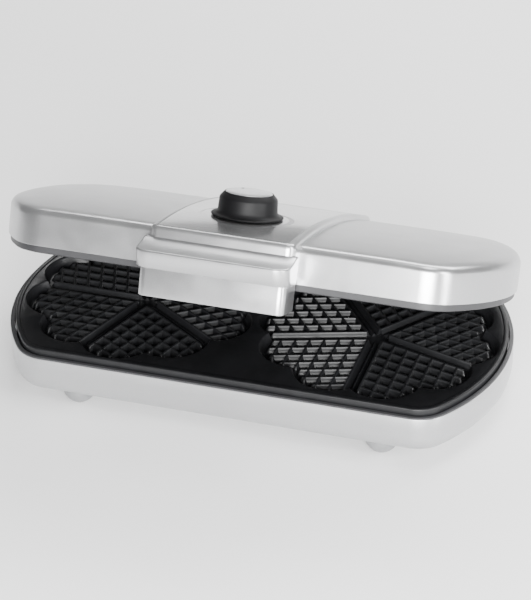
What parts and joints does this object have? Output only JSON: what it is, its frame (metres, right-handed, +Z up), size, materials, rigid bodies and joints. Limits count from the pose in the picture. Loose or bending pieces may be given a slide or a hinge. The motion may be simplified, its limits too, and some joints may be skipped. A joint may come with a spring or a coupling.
{
  "type": "waffle maker",
  "caption": "Hinged double heart-waffle maker with silver shells, lobed non-stick plates, a raised centre housing with a thermostat knob, and a front handle.",
  "frame": {"origin": "middle of the overall footprint, on the table plane under the foot pads, with the lid ajar as stored", "axes": "+X to the user's right along the long side, +Y to the back where the hinges are, +Z up"},
  "size_m": [0.352, 0.2216, 0.1573],
  "materials": {
    "silver_shell": "satin silver lacquer over a moulding",
    "dark_trim": "moulded, fine grain",
    "nonstick": "satin non-stick coating on cast aluminium",
    "heater_tube": "dull sheathed tube",
    "zinc_steel": "zinc plated",
    "pin_steel": "ground steel",
    "reflector_sheet": "bright rolled sheet",
    "wire_sleeve": "braided glass sleeve",
    "ceramic": "glazed ceramic",
    "gland_plastic": "moulded",
    "foot_plastic": "satin silver-grey moulding",
    "pad_rubber": "moulded rubber",
    "panel_gloss": "glossy metallic grey",
    "phenolic": "moulded phenolic",
    "copper": "drawn copper",
    "knob_black": "satin black moulding",
    "knob_silver": "spun disc"
  },
  "bodies": {
    "base": {"base_shell": "silver_shell", "base_trim": "dark_trim", "lower_plate": "nonstick", "lower_heater": "heater_tube", "lower_heater_clamps": "zinc_steel", "lower_reflector": "reflector_sheet", "base_spacers": "zinc_steel", "base_screws": "zinc_steel", "base_wiring": "wire_sleeve", "terminal_block": "ceramic", "cord_gland": "gland_plastic", "gland_nut": "gland_plastic", "foot_front_left": "foot_plastic", "foot_front_right": "foot_plastic", "foot_rear_left": "foot_plastic", "foot_rear_right": "foot_plastic", "foot_pads": "pad_rubber", "foot_screws": "zinc_steel", "hinge_bracket_left": "zinc_steel", "hinge_bracket_right": "zinc_steel", "hinge_pin_left": "pin_steel", "hinge_pin_right": "pin_steel", "bracket_screws": "zinc_steel"},
    "lid": {"lid_shell": "silver_shell", "lid_trim": "dark_trim", "upper_plate": "nonstick", "upper_heater": "heater_tube", "upper_heater_clamps": "zinc_steel", "upper_reflector": "reflector_sheet", "upper_plate_screws": "zinc_steel", "lid_wiring": "wire_sleeve", "hinge_arm_left": "zinc_steel", "hinge_arm_right": "zinc_steel", "arm_screws": "zinc_steel", "centre_housing": "silver_shell", "housing_screws": "zinc_steel", "control_panel": "panel_gloss", "handle_grip": "silver_shell", "handle_skirt": "silver_shell", "handle_screws": "zinc_steel", "thermostat": "phenolic", "thermostat_nut": "zinc_steel", "sensor_bulb": "copper", "sensor_clip": "zinc_steel", "thermal_fuse": "ceramic", "fuse_clip": "zinc_steel"},
    "knob": {"thermostat_shaft": "zinc_steel", "knob": "knob_black", "knob_cap": "knob_silver", "knob_marker": "knob_black"}
  },
  "joints": [
    {"name": "lid_hinge", "type": "hinge", "parent": "base", "child": "lid", "pos_m": [0, 0.10476, 0.0598], "axis": [-1, 0, 0], "range_deg": [-21.5, 75.5]},
    {"name": "knob_turn", "type": "hinge", "parent": "lid", "child": "knob", "pos_m": [0, -0.0264, 0.1361], "axis": [0, 0.3212, 0.947], "range_deg": [-135, 135]}
  ]
}
